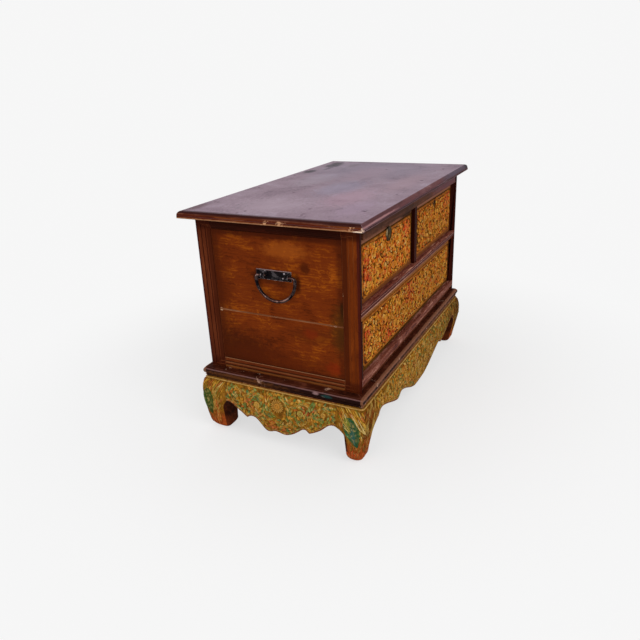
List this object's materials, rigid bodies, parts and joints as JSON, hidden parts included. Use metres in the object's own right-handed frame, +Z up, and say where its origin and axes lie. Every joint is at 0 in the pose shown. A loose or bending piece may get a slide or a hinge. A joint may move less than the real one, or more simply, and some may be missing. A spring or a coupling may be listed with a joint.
{
  "type": "carved chest of drawers",
  "caption": "Low wooden chest with drawers behind carved and painted fronts, bail handles on the ends and a scalloped stand with cabriole legs.",
  "frame": {"origin": "centre of the footprint at floor level, under the middle of the chest", "axes": "+X along the width, to the right of someone facing the drawers; -Y out of the drawer fronts; +Z up"},
  "size_m": [0.902, 0.509, 0.633],
  "materials": {
    "top_wood": "worn satin lacquer, dark red brown",
    "peg_wood": "dark end grain",
    "side_wood": "satin lacquer, orange brown",
    "dark_moulding": "satin lacquer, dark red brown with worn edges",
    "back_wood": "dull, unfinished",
    "inner_wood": "bare, dull",
    "carved_front": "carved and painted ochre and red",
    "apron_paint": "carved and painted ochre and green",
    "leg_paint": "carved and painted ochre, teal and red",
    "iron": "black, forged"
  },
  "bodies": {
    "case": {"top_board": "top_wood", "top_pegs": "peg_wood", "front_left_post": "side_wood", "front_right_post": "side_wood", "back_left_post": "side_wood", "back_right_post": "side_wood", "left_upper_board": "side_wood", "left_lower_board": "side_wood", "right_upper_board": "side_wood", "right_lower_board": "side_wood", "left_top_rail": "dark_moulding", "right_top_rail": "dark_moulding", "left_foot_rail": "dark_moulding", "right_foot_rail": "dark_moulding", "back_panel": "back_wood", "dust_board": "inner_wood", "bottom_board": "inner_wood", "centre_guide": "inner_wood", "front_top_rail": "dark_moulding", "front_mid_rail": "dark_moulding", "front_bottom_rail": "dark_moulding", "front_divider": "dark_moulding", "front_ledge": "dark_moulding", "back_ledge": "dark_moulding", "left_ledge": "dark_moulding", "right_ledge": "dark_moulding", "front_apron": "apron_paint", "back_apron": "apron_paint", "left_apron": "apron_paint", "right_apron": "apron_paint", "front_left_leg": "leg_paint", "front_right_leg": "leg_paint", "back_left_leg": "leg_paint", "back_right_leg": "leg_paint", "left_handle_plate": "iron", "left_handle_eyes": "iron", "right_handle_plate": "iron", "right_handle_eyes": "iron"},
    "left_drawer": {"left_drawer_front": "carved_front", "left_drawer_left_side": "inner_wood", "left_drawer_right_side": "inner_wood", "left_drawer_back": "inner_wood", "left_drawer_bottom": "inner_wood", "escutcheon": "iron", "left_lock": "iron"},
    "right_drawer": {"right_drawer_front": "carved_front", "right_drawer_left_side": "inner_wood", "right_drawer_right_side": "inner_wood", "right_drawer_back": "inner_wood", "right_drawer_bottom": "inner_wood", "right_lock": "iron"},
    "lower_drawer": {"lower_drawer_front": "carved_front", "lower_drawer_left_side": "inner_wood", "lower_drawer_right_side": "inner_wood", "lower_drawer_back": "inner_wood", "lower_drawer_bottom": "inner_wood"},
    "left_lock_bolt": {"left_bolt": "iron"},
    "right_lock_bolt": {"right_bolt": "iron"},
    "left_handle_bail": {"left_bail": "iron"},
    "right_handle_bail": {"right_bail": "iron"}
  },
  "joints": [
    {"name": "left_drawer_slide", "type": "slide", "parent": "case", "child": "left_drawer", "axis": [0, -1, 0], "range_m": [0, 0.3]},
    {"name": "right_drawer_slide", "type": "slide", "parent": "case", "child": "right_drawer", "axis": [0, -1, 0], "range_m": [0, 0.3]},
    {"name": "lower_drawer_slide", "type": "slide", "parent": "case", "child": "lower_drawer", "axis": [0, -1, 0], "range_m": [0, 0.3]},
    {"name": "left_bolt_slide", "type": "slide", "parent": "left_drawer", "child": "left_lock_bolt", "axis": [0, 0, 1], "range_m": [0, 0.008]},
    {"name": "right_bolt_slide", "type": "slide", "parent": "right_drawer", "child": "right_lock_bolt", "axis": [0, 0, 1], "range_m": [0, 0.008]},
    {"name": "left_bail_swing", "type": "hinge", "parent": "case", "child": "left_handle_bail", "pos_m": [-0.4185, 0, 0.48], "axis": [0, 1, 0], "range_deg": [0, 175]},
    {"name": "right_bail_swing", "type": "hinge", "parent": "case", "child": "right_handle_bail", "pos_m": [0.4185, 0, 0.48], "axis": [0, -1, 0], "range_deg": [0, 175]}
  ]
}
